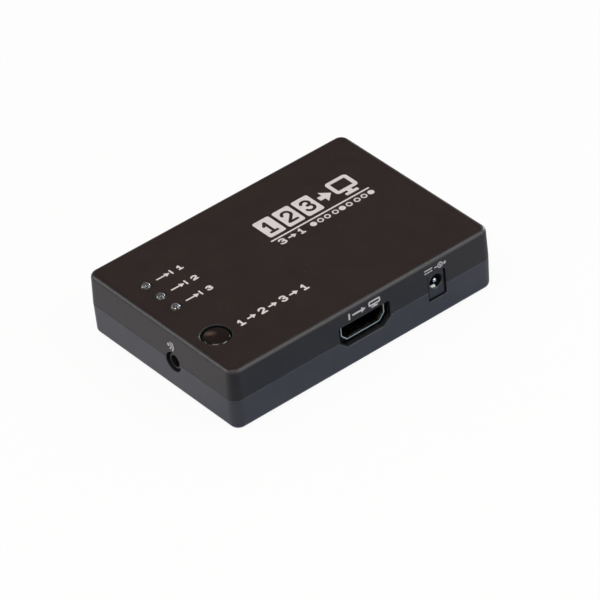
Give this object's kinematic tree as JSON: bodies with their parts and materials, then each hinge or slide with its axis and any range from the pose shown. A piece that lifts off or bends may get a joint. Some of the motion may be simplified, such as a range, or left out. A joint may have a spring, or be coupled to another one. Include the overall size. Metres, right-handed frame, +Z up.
{
  "type": "video switch box",
  "caption": "Small black plastic box that switches one of several video inputs to one output, with a push button, indicator lamps, a power inlet and a receiver jack.",
  "frame": {"origin": "centre of the base, on the surface that the box stands on", "axes": "+Z up; +X along the long side, to the right when the output side is faced; -Y towards the output socket and power inlet, +Y towards the inputs, -X towards the receiver jack"},
  "size_m": [0.09, 0.0624, 0.0204],
  "materials": {
    "case_plastic": "moulded, fine spark texture",
    "button_plastic": "glossy black",
    "lamp_lens": "clear moulded resin",
    "plated_steel": "tin plated sheet",
    "spring_steel": "thin spring sheet",
    "screw_steel": "black oxide",
    "tinned_leads": "tinned",
    "gold_contacts": "thin gold plating",
    "insulator_plastic": "moulded black",
    "jack_plastic": "moulded black",
    "board": "lacquered glass fibre board",
    "chip_plastic": "moulded epoxy",
    "can_metal": "drawn can",
    "ceramic": "fired ceramic"
  },
  "bodies": {
    "case": {"upper_shell": "case_plastic", "lower_shell": "case_plastic", "case_screws": "screw_steel", "circuit_board": "board", "output_socket_shell": "plated_steel", "output_socket_insulator": "insulator_plastic", "output_socket_contacts": "gold_contacts", "input_1_socket_shell": "plated_steel", "input_1_socket_insulator": "insulator_plastic", "input_1_socket_contacts": "gold_contacts", "input_2_socket_shell": "plated_steel", "input_2_socket_insulator": "insulator_plastic", "input_2_socket_contacts": "gold_contacts", "input_3_socket_shell": "plated_steel", "input_3_socket_insulator": "insulator_plastic", "input_3_socket_contacts": "gold_contacts", "lamp_1_lens": "lamp_lens", "lamp_1_leads": "tinned_leads", "lamp_2_lens": "lamp_lens", "lamp_2_leads": "tinned_leads", "lamp_3_lens": "lamp_lens", "lamp_3_leads": "tinned_leads", "push_switch_dome": "spring_steel", "push_switch_legs": "tinned_leads", "push_switch_base": "insulator_plastic", "push_switch_cover": "plated_steel", "power_inlet_pin": "plated_steel", "power_inlet_leaf": "plated_steel", "power_inlet_body": "jack_plastic", "receiver_jack_contacts": "tinned_leads", "receiver_jack_body": "jack_plastic", "switching_chip": "chip_plastic", "switching_chip_leads": "tinned_leads", "control_chip": "chip_plastic", "control_chip_leads": "tinned_leads", "regulator": "chip_plastic", "regulator_leads": "tinned_leads", "crystal_can": "can_metal", "crystal_leads": "tinned_leads", "capacitor_bases": "chip_plastic", "capacitor_cans": "can_metal", "chip_resistors": "chip_plastic", "chip_capacitors": "ceramic"},
    "button": {"select_button": "button_plastic", "push_switch_plunger": "insulator_plastic"}
  },
  "joints": [
    {"name": "select_button_press", "type": "slide", "parent": "case", "child": "button", "axis": [0, 0, -1], "range_m": [0, 0.00025], "stiffness_N_per_m": 4000, "deforming": ["push_switch_dome"]}
  ]
}
